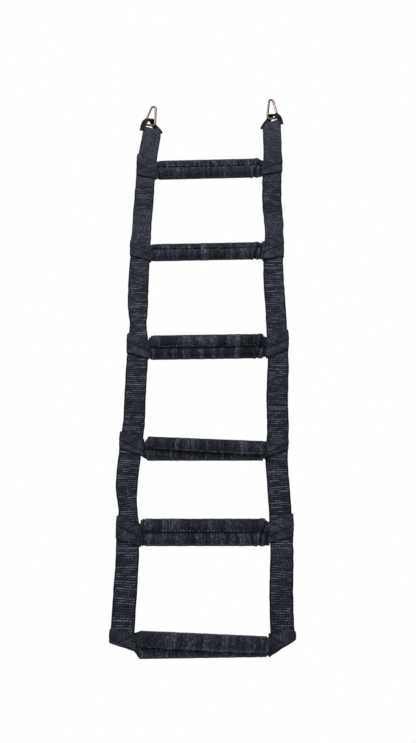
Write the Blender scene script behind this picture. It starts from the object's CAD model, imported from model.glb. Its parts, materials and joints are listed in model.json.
"""Looks of the webbing escape ladder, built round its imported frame.

The scene is in metres, +Z up, front towards -Y. Shapes are worked out in millimetres.
"""
import json
import math

import bpy
import numpy as np
from mathutils import Euler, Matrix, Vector


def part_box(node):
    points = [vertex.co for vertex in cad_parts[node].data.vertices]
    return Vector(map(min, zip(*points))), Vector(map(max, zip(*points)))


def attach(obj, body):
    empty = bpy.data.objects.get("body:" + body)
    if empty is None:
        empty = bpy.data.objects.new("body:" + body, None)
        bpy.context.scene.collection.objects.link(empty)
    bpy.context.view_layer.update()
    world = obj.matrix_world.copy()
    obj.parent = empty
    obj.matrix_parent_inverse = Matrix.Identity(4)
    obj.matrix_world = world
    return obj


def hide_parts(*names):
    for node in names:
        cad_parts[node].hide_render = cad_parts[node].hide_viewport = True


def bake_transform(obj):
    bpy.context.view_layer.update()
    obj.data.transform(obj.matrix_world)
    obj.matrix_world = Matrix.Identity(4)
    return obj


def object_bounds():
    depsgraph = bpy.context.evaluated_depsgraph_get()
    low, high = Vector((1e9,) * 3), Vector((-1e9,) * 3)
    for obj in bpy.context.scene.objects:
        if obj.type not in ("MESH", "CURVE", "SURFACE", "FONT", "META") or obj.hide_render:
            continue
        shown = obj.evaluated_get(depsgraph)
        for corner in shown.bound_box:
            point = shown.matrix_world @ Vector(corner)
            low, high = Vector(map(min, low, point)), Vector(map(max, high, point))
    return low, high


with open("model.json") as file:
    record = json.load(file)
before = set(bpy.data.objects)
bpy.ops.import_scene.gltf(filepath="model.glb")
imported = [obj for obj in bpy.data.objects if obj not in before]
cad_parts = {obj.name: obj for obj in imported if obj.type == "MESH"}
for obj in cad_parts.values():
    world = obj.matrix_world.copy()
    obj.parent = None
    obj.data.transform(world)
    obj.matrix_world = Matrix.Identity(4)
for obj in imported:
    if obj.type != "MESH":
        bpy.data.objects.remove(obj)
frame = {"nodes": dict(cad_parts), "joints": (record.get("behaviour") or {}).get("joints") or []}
CAD_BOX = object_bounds()

MM = 0.001
SIDES = {"left": -1, "right": 1}
RUNGS = range(1, 7)
GAPS = range(1, 6)

# ---------- places and sizes, from the frame ----------

JOINT_AT = {joint["name"]: [c / MM for c in joint["pos_m"]] for joint in frame["joints"]}
JOINT_Z = {name: at[2] for name, at in JOINT_AT.items()}
SWING = {"left": "ladder_swing", "right": "right_hook_swing"}
FOLD_BELOW = 46         # from a rung's middle down to the fold in the strap below it
FOLD_ABOVE = 52         # from a rung's middle up to the fold in the strap above it
RUNG_Z = {k: JOINT_Z[f"gap_{k}_fold"] + FOLD_BELOW for k in GAPS}
RUNG_Z[6] = JOINT_Z["gap_5_level"] - FOLD_ABOVE

strap_low, strap_high = (Vector(p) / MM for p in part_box("right_top_strap"))
STRAP_X = (strap_low.x + strap_high.x) / 2
STRAP_HALF = (strap_high.x - strap_low.x) / 2
STRAP_T = strap_high.y - strap_low.y
TOP_SPARE = 1.5         # how far the cloth stands over the plain strap's top
STRAP_TOP = {side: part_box(f"{side}_top_strap")[1].z / MM + TOP_SPARE for side in SIDES}
# Middle of the bar at each hook's wide end, x and z
HOOK_BAR = {side: (JOINT_AT[joint][0], JOINT_AT[joint][2]) for side, joint in SWING.items()}
RIB_PITCH = 5.0

SLEEVE_T = 2.0
SLEEVE_R = 13.5         # outer radius of the sleeve over a bar
GROOVE_R = 2.0          # rounding at the bottom of the groove between the bars
WRAP_T = 2.4

# Drift of each strap from a straight line: (height, drift), and positive is to the right
SWAY = {
    "left": [
        (-88, 12), (-168, 4), (-322, -1.5), (-480, -3), (-620, -2), (-690, 1.5), (-735, 3),
        (-872, 3.5), (-931, 4), (-1017, -2), (-1086, -4.5), (-1142, 1.5), (-1218, 4.5),
        (-1306, 4), (-1420, 3),
    ],
    "right": [
        (-88, 3.5), (-168, 4), (-322, -0.5), (-395, 3.5), (-502, -0.5), (-670, 4), (-781, 6),
        (-872, 2), (-931, 2.5), (-1017, -2), (-1100, 2), (-1218, 5), (-1306, 1.5), (-1420, 3),
    ],
}
# How much each edge of a strap is drawn in above the wraps of some rungs
PINCH = {"left": {3: 5.0, 5: 4.5}, "right": {2: 1.5}}
TOP_SLANT = {"left": 15, "right": 24}    # degrees that the top edge of a strap rises outwards


# ---------- small mathematics ----------

def smooth(t):
    t = np.clip(t, 0, 1)
    return t * t * (3 - 2 * t)


def bump(at, centre, width):
    return np.exp(-((at - centre) / width) ** 2)


NOISE_VALUES = 4096
ROW_SHIFT = 37.7        # cells that the noise moves along from one row of a surface to the next
NOISE_HALF = 25         # millimetres of noise from the middle of a strap or rung to its edge


def noise(at, cell, seed):
    """Smooth noise from -1 to 1 with one random value every cell."""
    steps = np.asarray(at, float) / cell
    low = np.floor(steps).astype(int)
    values = np.random.default_rng(seed).uniform(-1, 1, NOISE_VALUES)
    t = smooth(steps - low)
    return values[low % NOISE_VALUES] * (1 - t) + values[(low + 1) % NOISE_VALUES] * t


def noise_2d(u, v, cell_u, cell_v, seed):
    """The same over a surface."""
    steps = np.asarray(v, float) / cell_v
    low = np.floor(steps).astype(int)
    t = smooth(steps - low)
    return noise(u + low * ROW_SHIFT * cell_u, cell_u, seed) * (1 - t) \
        + noise(u + (low + 1) * ROW_SHIFT * cell_u, cell_u, seed) * t


def through(points, at):
    """Smooth curve through (place, value) points: cubic pieces that share their slopes."""
    xs, ys = (np.array(c, float) for c in zip(*sorted(points)))
    slopes = np.gradient(ys, xs)
    at = np.clip(at, xs[0], xs[-1])
    i = np.clip(np.searchsorted(xs, at) - 1, 0, len(xs) - 2)
    step = xs[i + 1] - xs[i]
    t = (at - xs[i]) / step
    return (ys[i] * (1 + 2 * t) * (1 - t) ** 2 + ys[i + 1] * t * t * (3 - 2 * t)
            + step * (slopes[i] * t * (1 - t) ** 2 + slopes[i + 1] * t * t * (t - 1)))


# ---------- materials ----------

class Shader:
    """A Principled material and short ways to add nodes to it."""

    def __init__(self, name, roughness, metallic=0.0, specular=0.5, sheen=0.0, sheen_roughness=0.5):
        self.material = bpy.data.materials.new(name)
        self.material.use_nodes = True
        self.tree = self.material.node_tree
        self.bsdf = self.tree.nodes["Principled BSDF"]
        self.set(self.bsdf, {"Roughness": roughness, "Metallic": metallic,
                             "Specular IOR Level": specular, "Sheen Weight": sheen,
                             "Sheen Roughness": sheen_roughness})

    def set(self, node, inputs):
        for name, value in inputs.items():
            socket = node.inputs[name]
            if isinstance(value, bpy.types.NodeSocket):
                self.tree.links.new(value, socket)
            else:
                socket.default_value = value

    def add(self, kind, inputs=None, **settings):
        node = self.tree.nodes.new("ShaderNode" + kind)
        for name, value in settings.items():
            setattr(node, name, value)
        self.set(node, inputs or {})
        return node

    def math(self, operation, a, b=0.0, c=0.0):
        return self.add("Math", {0: a, 1: b, 2: c}, operation=operation).outputs[0]

    def noise(self, vector, scale, detail=3.0, roughness=0.5):
        node = self.add("TexNoise", {"Vector": vector, "Scale": scale, "Detail": detail,
                                     "Roughness": roughness})
        return node.outputs["Fac"]

    def ramp(self, factor, stops):
        """Colour ramp through (place, colour) stops."""
        node = self.add("ValToRGB", {"Fac": factor})
        elements = node.color_ramp.elements
        while len(elements) < len(stops):
            elements.new(0.5)
        for element, (place, colour) in zip(elements, stops):
            element.position = place
            element.color = (*colour, 1)
        return node.outputs["Color"]

    def bump(self, height, strength, distance):
        node = self.add("Bump", {"Height": height, "Strength": strength, "Distance": distance})
        self.set(self.bsdf, {"Normal": node.outputs["Normal"]})


# Scales of the webbing's noise, in cells to a metre, and how much each lightens it
WOBBLE_SCALE, SPECKLE_SCALE, FUZZ_SCALE, PATCH_SCALE = 60.0, 300.0, 2600.0, 45.0
WEAVE_GAIN, FUZZ_GAIN, SPECKLE_GAIN, PATCH_GAIN = 0.06, 0.3, 1.5, 0.2
# Places of the dark, middle and light ink on the webbing's ramp
INK_STOPS = (0.08, 0.5, 0.92)
WOBBLE = 3.0            # millimetres that the yarns wander sideways
WEBBING_BUMP = 0.3      # millimetres


def webbing(name, inks, yarn=1.3, twill=4.6, twill_gain=0.58):
    """Woven polyester tape in a dark, a middle and a light ink. Its map runs across in u and
    along in v, in metres. yarn and twill are the spacings of its yarns and of its slanting
    ridges in millimetres. The mesh's tone says where a fold or a rib darkens or lightens it,
    and its twill how strongly the ridges show."""
    s = Shader(name, roughness=0.85, specular=0.08, sheen=0.03, sheen_roughness=0.5)
    uv = s.add("UVMap", uv_map="UVMap").outputs["UV"]
    across_along = s.add("SeparateXYZ", {"Vector": uv})
    u = s.math("MULTIPLY", across_along.outputs["X"], 1 / MM)
    v = s.math("MULTIPLY", across_along.outputs["Y"], 1 / MM)
    wobble = s.math("MULTIPLY", s.noise(uv, WOBBLE_SCALE, 2.0), WOBBLE)
    u_wave = s.math("ADD", u, wobble)
    warp = s.math("SINE", s.math("MULTIPLY", u_wave, 2 * math.pi / yarn))
    weft = s.math("SINE", s.math("MULTIPLY", v, 2 * math.pi / (0.8 * yarn)))
    weave = s.math("MULTIPLY", warp, weft)
    slant = s.math("ADD", s.math("MULTIPLY", u_wave, 2 * math.pi / (1.5 * twill)),
                   s.math("MULTIPLY", v, 2 * math.pi / twill))
    ridge = s.math("POWER", s.math("MULTIPLY_ADD", s.math("SINE", slant), 0.5, 0.5), 1.6)
    speckle = s.noise(uv, SPECKLE_SCALE, 3.0, 0.65)
    broken = s.math("MULTIPLY", s.math("SUBTRACT", ridge, 0.35),
                    s.math("MULTIPLY_ADD", speckle, 1.6, 0.1))
    shown = s.add("Attribute", attribute_name="twill").outputs["Fac"]
    diagonal = s.math("MULTIPLY", broken, shown)
    fuzz = s.noise(uv, FUZZ_SCALE, 4.0, 0.7)
    patch = s.noise(uv, PATCH_SCALE, 3.0)
    tone = s.add("Attribute", attribute_name="tone").outputs["Fac"]
    shade = s.math("MULTIPLY_ADD", diagonal, twill_gain, tone)
    shade = s.math("MULTIPLY_ADD", weave, WEAVE_GAIN, shade)
    for layer, gain in ((fuzz, FUZZ_GAIN), (speckle, SPECKLE_GAIN), (patch, PATCH_GAIN)):
        shade = s.math("MULTIPLY_ADD", s.math("SUBTRACT", layer, 0.5), gain, shade)
    s.set(s.bsdf, {"Base Color": s.ramp(shade, list(zip(INK_STOPS, inks)))})
    s.set(s.bsdf, {"Roughness": s.math("MULTIPLY_ADD", fuzz, 0.16, 0.74)})
    height = s.math("MULTIPLY_ADD", weave, 0.5, diagonal)
    height = s.math("MULTIPLY_ADD", fuzz, 1.2, height)
    s.bump(height, 0.6, WEBBING_BUMP * MM)
    return s.material


DRAWN_OUT = 0.12        # scale of the scratches along Z, as a share of that across
STAIN_SCALE = 130.0     # cells to a metre
METAL_BUMP = 0.06       # millimetres


def metal(name, dark, light, roughness, stain, grain=900.0):
    """Plated steel or aluminium, drawn along its length, with stains and fine scratches."""
    s = Shader(name, roughness=roughness, metallic=1.0)
    place = s.add("TexCoord").outputs["Object"]
    stretched = s.add("Mapping", {"Vector": place, "Scale": (1.0, 1.0, DRAWN_OUT)})
    scratches = s.noise(stretched.outputs["Vector"], grain, 4.0, 0.65)
    clouds = s.noise(place, STAIN_SCALE, 4.0, 0.6)
    mixed = s.math("MULTIPLY_ADD", scratches, 0.35, s.math("MULTIPLY", clouds, stain))
    s.set(s.bsdf, {"Base Color": s.ramp(mixed, [(0.15, dark), (0.75, light)])})
    s.set(s.bsdf, {"Roughness": s.math("MULTIPLY_ADD", clouds, 0.22, roughness - 0.08)})
    s.bump(scratches, 0.25, METAL_BUMP * MM)
    return s.material


# Dark, middle and light ink of each kind of webbing
STRAP_INKS = ((0.0024, 0.0026, 0.0042), (0.0152, 0.0183, 0.0275), (0.1, 0.112, 0.142))
SLEEVE_INKS = ((0.002, 0.0022, 0.0035), (0.0135, 0.0162, 0.0248), (0.11, 0.12, 0.15))
WRAP_INKS = ((0.0024, 0.0026, 0.0042), (0.0118, 0.014, 0.0212), (0.085, 0.09, 0.115))
LOOP_INKS = ((0.0012, 0.0013, 0.002), (0.0055, 0.006, 0.0092), (0.04, 0.042, 0.054))
THREAD_INKS = ((0.03, 0.031, 0.038), (0.085, 0.09, 0.106), (0.26, 0.27, 0.3))

strap_webbing = webbing("strap_webbing", STRAP_INKS)
sleeve_webbing = webbing("sleeve_webbing", SLEEVE_INKS, twill_gain=0.3)
wrap_webbing = webbing("wrap_webbing", WRAP_INKS, twill=3.6, twill_gain=0.45)
loop_webbing = webbing("loop_webbing", LOOP_INKS, yarn=0.9, twill=1.8)
stitch_thread = webbing("stitch_thread", THREAD_INKS, yarn=0.5, twill=0.9)
hook_steel = metal("hook_steel", (0.03, 0.018, 0.013), (0.17, 0.125, 0.102), 0.4, 0.75)
bright_steel = metal("bright_steel", (0.04, 0.026, 0.02), (0.24, 0.19, 0.165), 0.34, 0.6)
bar_aluminium = metal("bar_aluminium", (0.42, 0.42, 0.43), (0.78, 0.78, 0.79), 0.36, 0.5, 500.0)


# ---------- meshes ----------

def skin(name, rings, u, v, tone, material, closed_rows=False, twill=0.5):
    """Closed surface over rings of points in millimetres, each ring closed round, with a face
    over each end unless the rows close too. u and v are the map's places in millimetres, u
    with one more than a ring has points."""
    rows, cols, _ = rings.shape
    steps = rows if closed_rows else rows - 1
    i, j = (a.ravel() for a in np.meshgrid(np.arange(steps), np.arange(cols), indexing="ij"))
    i_next, j_next = (i + 1) % rows, (j + 1) % cols
    quads = np.stack([i * cols + j, i * cols + j_next,
                      i_next * cols + j_next, i_next * cols + j], 1)
    us = np.stack([u[j], u[j + 1], u[j + 1], u[j]], 1)
    vs = np.stack([v[i], v[i], v[i + 1], v[i + 1]], 1)
    points = rings.reshape(-1, 3)
    a, b, c = (points[quads[:, k]] for k in (0, 1, 2))
    if (np.cross(b - a, c - a) * a).sum() < 0:
        quads, us, vs = (m[:, ::-1] for m in (quads, us, vs))
    faces = quads.tolist()
    if not closed_rows:
        first, last = list(range(cols)), [(rows - 1) * cols + k for k in range(cols)]
        flip = quads[0].tolist().index(0) > quads[0].tolist().index(1)
        faces += [first if flip else first[::-1], last[::-1] if flip else last]
    mesh = bpy.data.meshes.new(name)
    mesh.from_pydata((points * MM).tolist(), [], faces)
    layer = mesh.uv_layers.new(name="UVMap")
    ends = 0 if closed_rows else 2 * cols
    uv = np.concatenate([np.stack([us, vs], 2).reshape(-1, 2), np.zeros((ends, 2))]) * MM
    layer.data.foreach_set("uv", uv.astype(np.float32).ravel())
    round_faces, end_faces = len(quads), len(faces) - len(quads)
    mesh.polygons.foreach_set("use_smooth", [True] * round_faces + [False] * end_faces)
    for key, value in (("tone", tone), ("twill", twill + 0 * tone)):
        attribute = mesh.attributes.new(key, "FLOAT", "POINT")
        attribute.data.foreach_set("value", np.clip(value, 0, 1).astype(np.float32).ravel())
    mesh.materials.append(material)
    mesh.update()
    piece = bpy.data.objects.new(name, mesh)
    bpy.context.scene.collection.objects.link(piece)
    return piece


def lengths_round(ring):
    """Distance round a closed ring at each of its points, and the whole way."""
    steps = np.linalg.norm(np.diff(np.vstack([ring, ring[:1]]), axis=0), axis=1)
    return np.concatenate([[0], np.cumsum(steps)])


# ---------- side straps ----------

FACE_POINTS = 16
EDGE_ANGLES = np.radians([-50, 0, 50])


def tape_outline():
    """Round a flat tape: share of its half width, then the outward direction at each point."""
    flat = np.linspace(-1, 1, FACE_POINTS)
    front = [(s, 0, -1) for s in flat]
    outer = [(1, math.cos(a), math.sin(a)) for a in EDGE_ANGLES]
    back = [(s, 0, 1) for s in flat[::-1]]
    inner = [(-1, -math.cos(a), -math.sin(a)) for a in EDGE_ANGLES]
    return np.array(front + outer + back + inner).T


HELD_HALF = 28          # half the height that a wrap holds flat
FREE_LENGTH = 40        # the strap hangs free this far beyond it


def clear_of_rungs(z):
    """0 inside the wraps, 1 well clear of them."""
    free = np.ones_like(z)
    for k in RUNGS:
        free *= smooth((np.abs(z - RUNG_Z[k]) - HELD_HALF) / FREE_LENGTH)
    return free


def sway(side, z):
    return through(SWAY[side], z)


STRAP_SEED = {"left": 11, "right": 23}
SELVEDGE = 0.14         # share of the strap's half width that its flat edge takes
RIB_LIFT = 0.75         # height of a full rib
RIB_SUNK = 0.3          # share of it that lies under the strap's plain face
PUCKER_LIFT = 0.25
RIB_EDGE = 0.15         # how far a rib stands out of the strap's edge
EDGE_SHORT = 0.5        # depth of the edges' short waves
EDGE_LONG = 0.4         # depth of their long ones
PINCH_UP = 55           # height over a rung's middle at which a strap is drawn in most
PINCH_LENGTH = 32
TOP_DRAWN = 2.0         # how much each edge is drawn in at the strap's top
TOP_DRAWN_LENGTH = 26
TOP_PLAIN = 85          # length of strap without ribs at its top
SLANT_LENGTH = 45       # length of strap over which the rows turn to the top edge's slant
CUP = 0.9               # how far the edges of a hanging stretch curl
BOW = 1.8               # how far it bows forward or back
TWIST = 3.5             # degrees that it turns


def strap_ribs(side, z, share):
    """Ribs across a strap: the profile of a rib, where ribs show, and the ribs' height."""
    seed = STRAP_SEED[side]
    free = clear_of_rungs(z)[:, None]
    down = -z[:, None] * np.ones_like(share)
    valley = 0.5 - 0.5 * np.cos(2 * np.pi * down / RIB_PITCH)
    tilt = free * 0.35 * noise(down, 45, seed + 9) * share
    profile = np.minimum(valley * 4, 1) \
        * (0.5 - 0.5 * np.cos(2 * np.pi * (down / RIB_PITCH + tilt))) ** 1.4
    index = np.floor(down / RIB_PITCH)
    ribbed = 0.5 + 0.65 * smooth((RUNG_Z[2] + 20 - z[:, None]) / 40)
    region = smooth(ribbed + 0.75 * noise(down, 62, seed) + 0.2 * (2 * free - 1)) \
        * (1 - smooth((z[:, None] - STRAP_TOP[side] + TOP_PLAIN) / 35))
    each = 0.72 + 0.28 * noise(index * 13.7, 1, seed + 1)
    across = np.clip(0.8 + 0.5 * noise_2d(share * NOISE_HALF, index * 5.0, 13, 1, seed + 2), 0, 1.2)
    return profile, region, profile * region * each * across


def strap_rings(side, z):
    """Rings round a side strap at heights z, their tone, and how strongly its twill shows."""
    share, out_x, out_y = tape_outline()
    seed = STRAP_SEED[side]
    half_t = STRAP_T / 2
    free = clear_of_rungs(z)[:, None]
    down = -z[:, None] * np.ones_like(share)
    from_top = z[:, None] - STRAP_TOP[side]
    selvedge = smooth((1 - np.abs(share)) / SELVEDGE)
    profile, region, ribs = strap_ribs(side, z, share)
    ribs = ribs * selvedge
    pucker = noise_2d(share * NOISE_HALF, down, 11, 9, seed + 3) * selvedge
    lift = RIB_LIFT * (ribs - RIB_SUNK) + PUCKER_LIFT * pucker
    drawn = sum(depth * bump(z, RUNG_Z[k] + PINCH_UP, PINCH_LENGTH)
                for k, depth in PINCH[side].items())
    each_edge = down * np.sign(share + 0.01)
    half = STRAP_HALF - half_t + EDGE_SHORT * noise(each_edge, 14, seed + 4) \
        + EDGE_LONG * noise(each_edge, 50, seed + 5) - drawn[:, None] \
        - TOP_DRAWN * smooth((from_top + TOP_DRAWN_LENGTH) / TOP_DRAWN_LENGTH)
    x = share * half + out_x * (half_t + RIB_EDGE * profile * region)
    y = out_y * (half_t + lift) + free * CUP * noise(down, 55, seed + 6) * share ** 2
    twist = np.radians(TWIST) * noise(z, 85, seed + 7)[:, None] * free
    centre = sway(side, z)[:, None]
    slope = np.gradient(sway(side, z), z)[:, None]
    top = smooth((from_top + SLANT_LENGTH) / SLANT_LENGTH)
    slant = math.tan(math.radians(TOP_SLANT[side])) * SIDES[side] * top - slope
    rings = np.stack([SIDES[side] * STRAP_X + centre + x * np.cos(twist) - y * np.sin(twist),
                      x * np.sin(twist) + y * np.cos(twist)
                      + free * BOW * noise(z, 70, seed + 8)[:, None],
                      z[:, None] + slant * x], 2)
    tone = 0.33 + 0.78 * (ribs - 0.24 * region) + 0.08 * pucker - 0.16 * (1 - selvedge)
    return rings, tone, 1.15 - 0.9 * region


def to_rib(z):
    """The rib valley nearest to a height, where two pieces of one strap can meet."""
    return round(z / RIB_PITCH) * RIB_PITCH


STRAP_ROW = 0.8         # millimetres from one row of points to the next


def strap_piece(name, side, top, bottom, nodes):
    """A stretch of a side strap that turns from one body to the next at the fold's height."""
    rows = int(round((top - bottom) / STRAP_ROW)) + 1
    z = np.linspace(top, bottom, rows)
    rings, tone, twill = strap_rings(side, z)
    round_it = lengths_round(rings[rows // 2])
    piece = skin(name, rings, round_it, -z, tone, strap_webbing, twill=twill)
    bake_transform(piece)
    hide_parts(*nodes)


def rung_body(k):
    return "top_section" if k == 1 else f"rung_{k}"


LAST_END = 22           # the strap ends this far over the middle of the bottom rung


def side_strap(side):
    """One strap from its top edge to the bottom rung. It is cut in rib valleys, halfway
    between fold lines and inside the wraps, so that each piece turns at one fold only."""
    top = STRAP_TOP[side]
    for k in GAPS:
        fold, knee, level = (JOINT_Z[f"gap_{k}_{name}"] for name in ("fold", "knee", "level"))
        upper_cut, lower_cut = to_rib((fold + knee) / 2), to_rib((knee + level) / 2)
        above = f"{side}_top_strap" if k == 1 else f"rung_{k}_strap_runs"
        strap_piece(f"{side}_strap_below_rung_{k}", side, top, upper_cut,
                    [above])
        strap_piece(f"{side}_strap_knee_{k}", side, upper_cut, lower_cut,
                    [f"gap_{k}_{side}_upper_strap", f"gap_{k}_{side}_lower_strap"])
        top = to_rib(RUNG_Z[k + 1] + (LAST_END if k == GAPS[-1] else 0))
        strap_piece(f"{side}_strap_above_rung_{k + 1}", side, lower_cut, top,
                    [f"rung_{k + 1}_strap_runs"])


# ---------- rungs ----------

def bar_ends(k):
    """The middles of a rung's two bars at their left and right ends, upper bar first."""
    co = np.array([v.co for v in frame["nodes"][f"rung_{k}_bars"].data.vertices]) / MM
    ends = []
    for sign in SIDES.values():
        near = co[co[:, 0] * sign > 0]
        spread = near[:, 1:] - near[:, 1:].mean(0)
        main = np.linalg.svd(spread, full_matrices=False)[2][0]
        main = main if main[1] > 0 else -main
        picks = [near[spread @ main > 0], near[spread @ main < 0]]
        ends.append([(p.min(0) + p.max(0)) / 2 for p in picks])
    (left_up, left_low), (right_up, right_low) = ends
    return left_up, left_low, right_up, right_low


ARC_POINTS = 30
GROOVE_POINTS = 7


def pair_outline(upper, lower, radius, groove):
    """Outline round two bars seen along the rung, (y, z) for every section, with a rounded
    groove at the front and the back. Also its outward normals, and each point's nearness
    to a groove from 0 to 1 and which bar it lies on, 1 upper and -1 lower."""
    middle = (upper + lower) / 2
    half = np.linalg.norm(upper - lower, axis=1)[:, None] / 2
    a = (upper - middle) / half
    b = np.stack([-a[:, 1], a[:, 0]], 1)
    reach = np.sqrt((radius + groove) ** 2 - half ** 2)
    psi = np.arctan2(half, reach)
    phi = np.pi / 2 + psi
    arc = np.linspace(-1, 1, ARC_POINTS, endpoint=False)
    dip = np.linspace(1, -1, GROOVE_POINTS, endpoint=False)
    points, normals, grooves, bars = [], [], [], []

    def put(centre, size, along_a, along_b, sign, near, bar):
        normal = along_a[:, :, None] * a[:, None] + along_b[:, :, None] * b[:, None]
        points.append(centre[:, None] + size * normal)
        normals.append(sign * normal)
        grooves.append(np.broadcast_to(near, along_a.shape))
        bars.append(np.broadcast_to(bar, along_a.shape))

    near_arc = smooth((np.abs(arc) - 0.55) / 0.45)
    put(middle + half * a, radius, np.cos(phi * arc), np.sin(phi * arc), 1, near_arc, 1.0)
    put(middle + reach * b, groove, np.sin(psi * dip), -np.cos(psi * dip), -1, 1.0, dip)
    put(middle - half * a, radius, -np.cos(phi * arc), -np.sin(phi * arc), 1, near_arc, -1.0)
    put(middle - reach * b, groove, -np.sin(psi * dip), np.cos(psi * dip), -1, 1.0, -dip)
    return (np.concatenate(points, 1), np.concatenate(normals, 1),
            np.concatenate(grooves, 1), np.concatenate(bars, 1))


# Strength of the blocks of shade on each rung's cloth, and of the puckers along its seam
BLOCKS = {1: 0.6, 2: 0.6, 3: 1.0, 4: 0.5, 5: 0.9, 6: 0.5}
PUCKERS = {1: 0.9, 2: 0.9, 3: 0.4, 4: 0.9, 5: 0.4, 6: 0.9}
# How loosely the cloth lies round the bars, and how far it rides up at the left and right end
LOOSE = {1: 2.0, 2: 0.6, 3: 2.8, 4: 1.3, 5: 2.8, 6: 3.0}
RIDE_UP = {
    1: (-2.0, 0.0), 2: (0.0, 0.0), 3: (0.3, 0.3), 4: (-1.3, -1.3), 5: (1.5, 1.5), 6: (3.0, 3.0),
}
# Ends of each sleeve inside its wraps: top and bottom over the middle of the rung's end,
# and the length over which it is gathered.
SLEEVE_END = {
    1: {"left": (21, -25, 8), "right": (23, -26, 10)},
    2: {"left": (22, -23, 8), "right": (22, -25, 10)},
    3: {"left": (26, -28, 7), "right": (24, -27, 10)},
    4: {"left": (10, -21, 15), "right": (20, -23, 5)},
    5: {"left": (28, -28, 7), "right": (24, -27, 10)},
    6: {"left": (27, -12, 22), "right": (25, -18, 8)},
}
END_HALF_D = 4.6        # half the depth of a sleeve's flat end
END_SQUARE = 5          # how square the flat end's corners are
BAR_SPARE = 0.5         # the gathered length ends this far before the bars
SLEEVE_IN_WRAP = 2.5    # how far the cloth goes on into a wrap past the plain sleeve's end
SOFT_GROOVES = (1, 2)   # rungs whose groove is puckered rather than dark
STRAIGHT_ENDS = (4, 6)  # rungs whose right end runs into its wraps without a crease


def bars_at(ends, x):
    """Middles of the upper and the lower bar, (y, z), at places x along the rung."""
    left_up, left_low, right_up, right_low = ends
    t = ((x - left_up[0]) / (right_up[0] - left_up[0]))[:, None]
    upper = left_up[1:] + t * (right_up - left_up)[1:]
    lower = left_low[1:] + t * (right_low - left_low)[1:]
    return upper, lower


def sleeve_span(k):
    """Where a rung's sleeve ends in its wraps, left and right."""
    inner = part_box(f"rung_{k}_sleeve")[1].x / MM + SLEEVE_IN_WRAP
    return [SIDES[side] * inner + float(sway(side, RUNG_Z[k])) for side in SIDES]


def end_middle(k, side):
    """Height of the middle of a rung's end."""
    ends = bar_ends(k)
    return (ends[0][2] + ends[1][2]) / 2 if side == "left" else (ends[2][2] + ends[3][2]) / 2


def flatten(points, k, x, thinner=0.0):
    """Draws the outline in to the flat ends that go into the wraps."""
    middle = points.mean(1, keepdims=True)
    angle = np.arctan2(points[..., 1] - middle[..., 1], points[..., 0] - middle[..., 0])
    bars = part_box(f"rung_{k}_bars")[1].x / MM
    for side, end in zip(SIDES, sleeve_span(k)):
        top, bottom, length = SLEEVE_END[k][side]
        length = min(length, abs(end) - bars - BAR_SPARE)
        half_d, half_h = END_HALF_D - thinner, (top - bottom) / 2 - thinner
        size = ((np.abs(np.cos(angle)) / half_d) ** END_SQUARE
                + (np.abs(np.sin(angle)) / half_h) ** END_SQUARE) ** (-1 / END_SQUARE)
        centre = np.array([0, end_middle(k, side) + (top + bottom) / 2])
        flat = centre + size[..., None] * np.stack([np.cos(angle), np.sin(angle)], 2)
        weight = smooth(1 - np.abs(x - end) / length)[:, None, None]
        points = points * (1 - weight) + flat * weight
    return points


COLUMN_CELL = 2.6       # spacing of the cloth's fine ribs along the rung
BLOCK_CELLS = (8.5, 10.5)   # lengths of the blocks of shade on the upper and the lower bar
RIDGE_CELL = 3.4        # spacing of the puckers along the seam
RIB_RELIEF, BLOCK_RELIEF, RIDGE_RELIEF = 0.3, 0.35, 0.6
CROSS_DEPTH = 1.2       # of the crossed folds at the left end
CREASE_DEPTH = 2.0      # of the creases at the right end
KNOB_HEIGHT = 1.2       # of the cloth that stands up between them


def end_folds(k, along, level):
    """Strength of the crossed folds at a sleeve's left end, and of the creases and the knobs
    at its right end. Places are in millimetres from the end, and each slants with level."""
    left, right = sleeve_span(k)
    cross = bump(along, left + 5 + 4 * level, 1.5) + bump(along, left + 5 - 4 * level, 1.5)
    crease = bump(along, right - 15 + 8 * level, 2.4) \
        + 0.5 * bump(along, right - 5 + 3 * level, 1.6)
    knob = bump(along, right - 22 + 6 * level, 4.0) + 0.6 * bump(along, right - 8 + 8 * level, 3.2)
    return cross, crease, knob


def cloth_relief(k, x, outline):
    """Lift of a sleeve's cloth from its bars, and its tone."""
    points, _, groove, bar = outline
    blocks, puckers = BLOCKS[k], PUCKERS[k]
    along = x[:, None] + 0 * groove
    level = (points[..., 1] - points[..., 1].mean(1, keepdims=True)) / NOISE_HALF
    seed = 100 * k
    pull = along + 2.5 * noise_2d(level * NOISE_HALF, along, 9, 30, seed + 9)
    rib = noise(pull, COLUMN_CELL, seed) * (0.6 + 0.4 * noise(along, 31, seed + 1))
    spots = noise_2d(pull, level * NOISE_HALF, 3.4, 4.5, seed + 5)
    on_upper, on_lower = (noise(pull, cell, seed + 2 + n) for n, cell in enumerate(BLOCK_CELLS))
    block = np.where(bar > 0, on_upper, on_lower)
    ridge = noise(pull, RIDGE_CELL, seed + 4) * groove ** 2
    lift = LOOSE[k] + RIB_RELIEF * rib + BLOCK_RELIEF * blocks * block \
        + RIDGE_RELIEF * puckers * ridge
    ridge_tone, groove_tone = (0.4, 0.04) if k in SOFT_GROOVES else (0.22, 0.25)
    tone = 0.36 + 0.18 * rib + 0.13 * blocks * np.tanh(3 * block) + 0.1 * spots \
        + ridge_tone * puckers * ridge - groove_tone * groove ** 3

    cross, crease, knob = end_folds(k, along, level)
    tied = 0.0 if k in STRAIGHT_ENDS else 1.0
    lift += tied * (KNOB_HEIGHT * knob - CREASE_DEPTH * crease) - CROSS_DEPTH * cross
    tone += tied * (0.06 * knob - 0.5 * crease) - 0.45 * cross
    return lift, tone


def ride_up(points, k, x):
    """Lets the cloth lie a little above or below the bars."""
    left, right = sleeve_span(k)
    ride = np.interp(x, [left, right], RIDE_UP[k])
    return points + ride[:, None, None] * np.array([0, 1])


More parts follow.
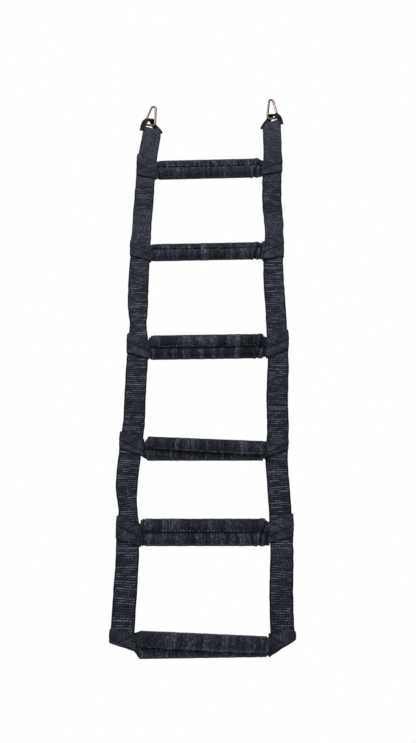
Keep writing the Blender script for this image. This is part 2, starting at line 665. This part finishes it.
SLEEVE_ROW = 0.9        # millimetres from one row of points to the next
LINING_END = 20         # length at each end over which the lining has closer rows
LINING_GAP = 28         # its other rows keep this far from each end


def sleeve(k):
    """Tube of webbing over the two bars, gathered flat where the wraps take it."""
    ends = bar_ends(k)
    left, right = sleeve_span(k)
    x = np.linspace(left, right, int((right - left) / SLEEVE_ROW))
    outline = pair_outline(*bars_at(ends, x), SLEEVE_R, GROOVE_R)
    lift, tone = cloth_relief(k, x, outline)
    outer = flatten(ride_up(outline[0] + lift[..., None] * outline[1], k, x), k, x)
    x_in = np.concatenate([np.linspace(right, right - LINING_END, 9),
                           np.linspace(right - LINING_GAP, left + LINING_GAP, 12),
                           np.linspace(left + LINING_END, left, 9)])
    lining = pair_outline(*bars_at(ends, x_in), SLEEVE_R - SLEEVE_T, GROOVE_R + SLEEVE_T)
    inner = flatten(ride_up(lining[0] + LOOSE[k] * lining[1], k, x_in), k, x_in, SLEEVE_T)
    rings = np.concatenate([np.dstack([np.broadcast_to(a[:, None], p.shape[:2]), p])
                            for a, p in ((x, outer), (x_in, inner))])
    v = np.concatenate([x, x_in, x[:1]])
    tones = np.concatenate([tone, np.full(inner.shape[:2], 0.3)])
    round_it = lengths_round(rings[len(x) // 2])
    piece = skin(f"rung_{k}_cover", rings, round_it, v, tones, sleeve_webbing, closed_rows=True,
                 twill=0.6)
    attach(piece, rung_body(k))
    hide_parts(f"rung_{k}_sleeve")


STITCH_PITCH = 6.4
STITCH_HALF = 1.8       # half a stitch's length
STITCH_R = 0.75
STITCH_UP = 0.1         # how far its middle line lies over the cloth
STITCH_RINGS = 5
STITCH_SIDES = 6
SEAM_SHORTER = 50       # the row of stitches is this much shorter than the sleeve
SEAM_SHARE = 0.86       # place of the seam on the upper bar's outline, 1 at the groove


def seam(k):
    """Row of stitches along the groove, front and back, through the sleeve's two layers."""
    ends = bar_ends(k)
    left, right = sleeve_span(k)
    count = int((right - left - SEAM_SHORTER) / STITCH_PITCH)
    centres = (left + right) / 2 + (np.arange(count) - (count - 1) / 2) * STITCH_PITCH
    lobes = np.linspace(-1, 1, STITCH_RINGS)
    x = (centres[:, None] + STITCH_HALF * lobes).ravel()
    outline = pair_outline(*bars_at(ends, x), SLEEVE_R, GROOVE_R)
    lift, _ = cloth_relief(k, x, outline)
    verts, faces, tones = [], [], []
    around = np.linspace(0, 2 * np.pi, STITCH_SIDES, endpoint=False)
    arc = np.linspace(-1, 1, ARC_POINTS, endpoint=False)
    for face in (1, -1):
        column = int(np.abs(arc - face * SEAM_SHARE).argmin())
        normal = outline[1][:, column]
        path = outline[0][:, column] + (lift[:, column] + STITCH_UP)[:, None] * normal
        path = ride_up(path[:, None], k, x)[:, 0]
        across = np.stack([-normal[:, 1], normal[:, 0]], 1)
        thick = np.tile(STITCH_R * np.sqrt(1.03 - lobes ** 2), count)
        ring = path[:, None] + thick[:, None, None] * (
            np.cos(around)[None, :, None] * normal[:, None]
            + np.sin(around)[None, :, None] * across[:, None])
        rings = np.dstack([np.broadcast_to(x[:, None], ring.shape[:2]), ring])
        for n in range(count):
            base = len(verts)
            verts += rings[STITCH_RINGS * n:STITCH_RINGS * (n + 1)].reshape(-1, 3).tolist()
            last = base + (STITCH_RINGS - 1) * STITCH_SIDES
            for near in range(base, last, STITCH_SIDES):
                far = near + STITCH_SIDES
                for j in range(STITCH_SIDES):
                    j_next = (j + 1) % STITCH_SIDES
                    faces.append([near + j, near + j_next, far + j_next, far + j])
            faces.append(list(range(base + STITCH_SIDES - 1, base - 1, -1)))
            faces.append(list(range(last, last + STITCH_SIDES)))
            tone = 0.5 + 0.45 * float(noise(n * 7.3, 1, 100 * k + 7))
            tones += [tone] * (STITCH_RINGS * STITCH_SIDES)
    mesh = bpy.data.meshes.new(f"rung_{k}_seam")
    mesh.from_pydata((np.array(verts) * MM).tolist(), [], faces)
    mesh.validate()
    layer = mesh.uv_layers.new(name="UVMap")
    for loop in mesh.loops:
        point = mesh.vertices[loop.vertex_index].co
        layer.data[loop.index].uv = (point.z, point.x)
    mesh.attributes.new("tone", "FLOAT", "POINT").data.foreach_set("value", tones)
    mesh.shade_smooth()
    mesh.materials.append(stitch_thread)
    piece = bpy.data.objects.new(f"rung_{k}_seam", mesh)
    bpy.context.scene.collection.objects.link(piece)
    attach(piece, rung_body(k))


# ---------- wraps ----------

# Heights of each wrap's corners over the middle of its rung's end, in millimetres:
# top outer, top inner, bottom outer, bottom inner.
WRAP_EDGES = {
    1: {"left": (50, 26, -19, -29), "right": (38, 20, -13, -26)},
    2: {"left": (38, 20, -8, -26), "right": (44, 24, -20, -29)},
    3: {"left": (38, 20, -13, -28), "right": (43, 22, -10, -32)},
    4: {"left": (38, 20, -3, -20), "right": (34, 20, 4, -19)},
    5: {"left": (38, 20, -13, -29), "right": (42, 24, -9, -22)},
    6: {"left": (33, 26, 5, -10), "right": (35, 29, 17, -17)},
}
WRAP_HALF_RUNG = 5.0    # half a wrap's depth at the rung
WRAP_HALF_EDGE = 4.3    # and at the strap's outer edge
WRAP_ROWS = 56          # rows of points down its outside
LINING_ROWS = 5         # and up its inside
WRAP_PAST_SLEEVE = 0.4  # from the plain sleeve's end to the wrap
WRAP_INSET = 1.3        # from the plain wrap's outer edge in to the shaped one's
FOLLOW_TILT = 0.3       # share of the rung's tilt that its wraps follow
HEM_SHARE = 0.04        # share of a wrap's height that each hem takes
LAP_LOW, LAP_RISE = -10, 26         # height of the lap at the rung, and its rise outwards
CREASE_HIGH, CREASE_FALL = 24, 30   # height of the crease at the rung, and its fall outwards
HEM_DEPTH, LAP_LIFT, PUFF_LIFT, DENT_LIFT, WRAP_CREASE = 0.9, 0.7, 0.9, 0.45, 0.7


def wrap_section(inner, outer, half_front, half_edge, columns=22):
    """Closed outline of a wrap seen from above, (x outward, y), thicker at the rung."""
    share = np.linspace(0, 1, columns)
    x = inner + (outer - inner - half_edge) * share
    depth = half_front + (half_edge - half_front) * smooth(share)
    turn = [math.radians(angle) for angle in np.linspace(-90, 90, 9)[1:-1]]
    edge = [(x[-1] + half_edge * math.cos(a), half_edge * math.sin(a)) for a in turn]
    close = [(inner - 0.6, y) for y in np.linspace(half_front * 0.7, -half_front * 0.7, 4)]
    return np.array([*zip(x, -depth), *edge, *zip(x[::-1], depth[::-1]), *close])


def wrap(k, side):
    """Band of webbing taken round the side strap at a rung's end."""
    sign = SIDES[side]
    shift = float(sway(side, RUNG_Z[k])) * sign
    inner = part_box(f"rung_{k}_sleeve")[1].x / MM + WRAP_PAST_SLEEVE + shift
    outer = (Vector(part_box(f"rung_{k}_wraps")[1]) / MM).x + shift - WRAP_INSET
    z0 = end_middle(k, side) + (end_middle(k, side) - RUNG_Z[k]) * FOLLOW_TILT
    top_out, top_in, bottom_out, bottom_in = WRAP_EDGES[k][side]
    seed = 1000 + 10 * k + (side == "right")

    def layer(section, t, relief):
        """Points of the wrap's outside or inside for shares t of its height, and their tone."""
        share = np.clip((section[:, 0] - inner) / (outer - inner), 0, 1)
        high_z = top_in + (top_out - top_in) * smooth(share) ** 0.9
        low_z = bottom_in + (bottom_out - bottom_in) * share
        z = high_z + (low_z - high_z) * t[:, None] \
            + 0.8 * noise_2d(section[:, 0], t[:, None] * 3, 12, 1, seed)
        normal = np.roll(section, -1, 0) - np.roll(section, 1, 0)
        normal = np.stack([normal[:, 1], -normal[:, 0]], 1)
        normal /= np.linalg.norm(normal, axis=1)[:, None]
        lift, tone = 0 * z, 0 * z + 0.3
        if relief:
            lift, tone = relief(share, z, t[:, None] + 0 * share, section)
        x = section[:, 0] + lift * normal[:, 0]
        y = section[:, 1] + lift * normal[:, 1]
        return np.stack([sign * x, y, z0 + z], 2), tone

    def relief(share, z, t, section):
        """Hems, the lap that slants up outwards, dents and one crease the other way."""
        hem = smooth(t / HEM_SHARE) * smooth((1 - t) / HEM_SHARE)
        lap_line = LAP_LOW + LAP_RISE * share
        lap = smooth((z - lap_line) / 2.2)
        puff = PUFF_LIFT * np.sin(np.pi * t) * smooth(share / 0.25)
        dents = noise_2d(section[:, 0], z, 13, 10, seed + 1)
        crease = bump(z, CREASE_HIGH - CREASE_FALL * share, 1.6) * smooth((0.75 - share) / 0.3)
        lift = HEM_DEPTH * (hem - 1) + LAP_LIFT * lap + puff + DENT_LIFT * dents \
            - WRAP_CREASE * crease
        tone = 0.42 + 0.14 * dents - 0.25 * crease - 0.4 * (1 - hem) \
            - 0.25 * bump(z, lap_line, 1.6) - 0.12 * smooth((share - 0.93) / 0.07)
        return lift, tone

    outside = wrap_section(inner, outer, WRAP_HALF_RUNG, WRAP_HALF_EDGE)
    inside = wrap_section(inner + WRAP_T / 2, outer - WRAP_T, WRAP_HALF_RUNG - WRAP_T,
                          WRAP_HALF_EDGE - WRAP_T)
    outer_rings, tone = layer(outside, np.linspace(0, 1, WRAP_ROWS), relief)
    inner_rings, tone_in = layer(inside, np.linspace(1, 0, LINING_ROWS), None)
    rings = np.concatenate([outer_rings, inner_rings])
    heights = rings[:, 3, 2]
    round_it = lengths_round(rings[WRAP_ROWS // 2])
    piece = skin(f"rung_{k}_{side}_wrap", rings, round_it, np.append(-heights, -heights[0]),
                 np.concatenate([tone, tone_in]), wrap_webbing, closed_rows=True)
    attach(piece, rung_body(k))
    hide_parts(f"rung_{k}_wraps")


# ---------- hanging loops ----------

# Middle line of each loop from the seam behind the strap's outer corner, in front of the
# hook's bar, through the hook and down behind the strap's inner corner: x outwards, y, and
# z over the bar.
LOOP_LINE = {
    "left": [
        (19.5, 2.6, -16.5), (18.5, 2.6, -10), (17, -0.5, -2), (14, -4.6, 4.5), (9.5, -6.4, 9.5),
        (3, -6.6, 14.5), (-1.5, -4.6, 18), (-3.8, 0.3, 19), (-6.5, 3.8, 16), (-9, 5.8, 9.5),
        (-13, 5.8, 1.5), (-18, 4.6, -5.5), (-23, 3.2, -12.5), (-27.5, 2.6, -19.5), (-30, 2.6, -26),
    ],
    "right": [
        (22, 2.6, -17), (21, 2.6, -10), (19, -0.5, -3.5), (16, -4.6, 1.5), (11, -5.8, 5.5),
        (6, -5.4, 9), (0.5, -3.4, 11.5), (-3, 0.5, 12.2), (-6, 4.2, 9.5), (-8.5, 5.8, 3.5),
        (-12.5, 5.4, -4), (-17, 4, -12), (-21.5, 2.9, -20.5), (-25.5, 2.6, -29), (-27.5, 2.6, -35),
    ],
}
# Outward face of the webbing at the points of that line
LOOP_FACE = [(0, -1, 0)] * 5
LOOP_FACE += [(0, -1, 0.3), (0, -0.7, 0.7), (0, 0, 1), (-0.2, 0.8, 0.6), (0, 1, 0.2)]
LOOP_FACE += [(0, 1, 0)] * 5
LOOP_HALF_W = 7.2
LOOP_T = 1.9
LOOP_RIB = 1.9          # spacing of the loop's fine ribs
LOOP_SELVEDGE = 0.25    # share of its half width that its flat edge takes
LOOP_ROWS = 190
LOOP_SAMPLE = 90        # row that the map's width is measured on
LOOP_HALF_NOISE = 7     # millimetres of noise from its middle to its edge


def hanging_loop(side):
    """Narrow webbing through the hook, its two legs sewn behind the corners of the strap."""
    sign = SIDES[side]
    keys = np.arange(len(LOOP_FACE), dtype=float)
    at = np.linspace(0, keys[-1], LOOP_ROWS)
    line, face = (np.stack([through(list(zip(keys, column)), at) for column in zip(*points)], 1)
                  for points in (LOOP_LINE[side], LOOP_FACE))
    tangent = np.gradient(line, axis=0)
    tangent /= np.linalg.norm(tangent, axis=1)[:, None]
    face -= (face * tangent).sum(1)[:, None] * tangent
    face /= np.linalg.norm(face, axis=1)[:, None]
    width = np.cross(face, tangent)
    share, out_x, out_y = tape_outline()
    along = np.concatenate([[0], np.cumsum(np.linalg.norm(np.diff(line, axis=0), axis=1))])
    rib = 0.5 - 0.5 * np.cos(2 * np.pi * along / LOOP_RIB)[:, None]
    selvedge = smooth((1 - np.abs(share)) / LOOP_SELVEDGE)
    half_t = LOOP_T / 2
    dents = noise_2d(share * LOOP_HALF_NOISE, along[:, None], 5, 8, 71)
    lift = 0.14 * rib * selvedge + 0.2 * dents * selvedge
    w = share * (LOOP_HALF_W - half_t) + out_x * half_t
    h = -out_y * (half_t + lift) + 0.5 * (share ** 2 - 0.5) * noise(along, 22, 72)[:, None]
    rings = line[:, None] + w[..., None] * width[:, None] + h[..., None] * face[:, None]
    bar_x, bar_z = HOOK_BAR[side]
    rings = rings * (sign, 1, 1) + (bar_x, 0, bar_z)
    tone = 0.42 + 0.3 * (rib - 0.4) * selvedge - 0.15 * (1 - selvedge)
    piece = skin(f"{side}_loop", rings, lengths_round(rings[LOOP_SAMPLE]), along, tone,
                 loop_webbing)
    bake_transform(piece)
    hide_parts(f"{side}_hanging_loop")


# ---------- the frame's own pieces ----------

def finish_nodes(ending, material):
    """Gives the material to every CAD node whose name ends so."""
    for name, node in frame["nodes"].items():
        if name.endswith(ending):
            node.data.materials.clear()
            node.data.materials.append(material)


# ---------- stage ----------

LENS, SENSOR = 40, 36   # millimetres
CAMERA_AT = (0.006, -1.770, -1.586)
CAMERA_PITCH, CAMERA_ROLL = 23.93, 0.86     # degrees up from level, and round the view


def camera():
    """Looks up at the ladder from near the height of its foot."""
    data = bpy.data.cameras.new("camera")
    data.lens = LENS
    data.sensor_width = SENSOR
    made = bpy.data.objects.new("camera", data)
    made.location = CAMERA_AT
    pitch, roll = math.radians(CAMERA_PITCH), math.radians(CAMERA_ROLL)
    made.rotation_euler = (Euler((math.pi / 2 + pitch, 0, 0)).to_matrix()
                           @ Euler((0, 0, roll)).to_matrix()).to_euler()
    bpy.context.scene.collection.objects.link(made)
    bpy.context.scene.camera = made


def area_light(name, place, size, power, aim):
    """Round soft lamp, its size in metres and its power in watts."""
    data = bpy.data.lights.new(name, "AREA")
    data.shape = "DISK"
    data.size = size
    data.energy = power
    made = bpy.data.objects.new(name, data)
    made.location = place
    made.rotation_euler = (Vector(aim) - Vector(place)).to_track_quat("-Z", "Y").to_euler()
    bpy.context.scene.collection.objects.link(made)


AMBIENT = 0.4           # strength of the surroundings' light
BACKDROP = 1.0          # their strength as the camera sees them
FLOOR_DROP = 0.45       # metres from the ladder's foot down to the floor
FLOOR_HALF = 9.0
# Lamps: place, size, power
LAMPS = {
    "key": ((-1.6, -2.4, 1.9), 0.9, 190),
    "fill": ((2.2, -2.0, -0.2), 1.6, 22),
    "rim": ((0.8, 2.2, 0.6), 1.2, 60),
}


def studio():
    """White surroundings, a pale floor under the hanging ladder and soft lamps."""
    bpy.context.scene.view_settings.view_transform = "Standard"
    world = bpy.data.worlds.new("studio")
    world.use_nodes = True
    tree = world.node_tree
    background = tree.nodes["Background"]
    background.inputs["Color"].default_value = (1, 1, 1, 1)
    seen = tree.nodes.new("ShaderNodeLightPath").outputs["Is Camera Ray"]
    strength = tree.nodes.new("ShaderNodeMapRange")
    strength.inputs["To Min"].default_value = AMBIENT
    strength.inputs["To Max"].default_value = BACKDROP
    tree.links.new(seen, strength.inputs["Value"])
    tree.links.new(strength.outputs["Result"], background.inputs["Strength"])
    bpy.context.scene.world = world

    floor_shader = Shader("studio_floor", roughness=0.9, specular=0.2)
    spot = floor_shader.add("TexCoord").outputs["Object"]
    haze = floor_shader.noise(spot, 3.0, 2.0)
    floor_shader.set(floor_shader.bsdf, {"Base Color": floor_shader.ramp(
        haze, [(0.3, (0.83, 0.83, 0.84)), (0.7, (0.87, 0.87, 0.88))])})
    level = CAD_BOX[0].z - FLOOR_DROP
    around = ((-1, -1), (1, -1), (1, 1), (-1, 1))
    corners = [(x * FLOOR_HALF, y * FLOOR_HALF, level) for x, y in around]
    mesh = bpy.data.meshes.new("floor")
    mesh.from_pydata(corners, [], [(0, 1, 2, 3)])
    mesh.materials.append(floor_shader.material)
    floor = bpy.data.objects.new("floor", mesh)
    bpy.context.scene.collection.objects.link(floor)
    middle = (0, 0, (CAD_BOX[0].z + CAD_BOX[1].z) / 2)
    for name, (place, size, power) in LAMPS.items():
        area_light(name, place, size, power, middle)


# ---------- everything ----------

camera()
studio()
for side in SIDES:
    side_strap(side)
    hanging_loop(side)
for k in RUNGS:
    sleeve(k)
    seam(k)
    for side in SIDES:
        wrap(k, side)
finish_nodes("hook_frame", hook_steel)
for ending in ("hook_gate", "gate_rivet", "gate_spring"):
    finish_nodes(ending, bright_steel)
finish_nodes("_bars", bar_aluminium)
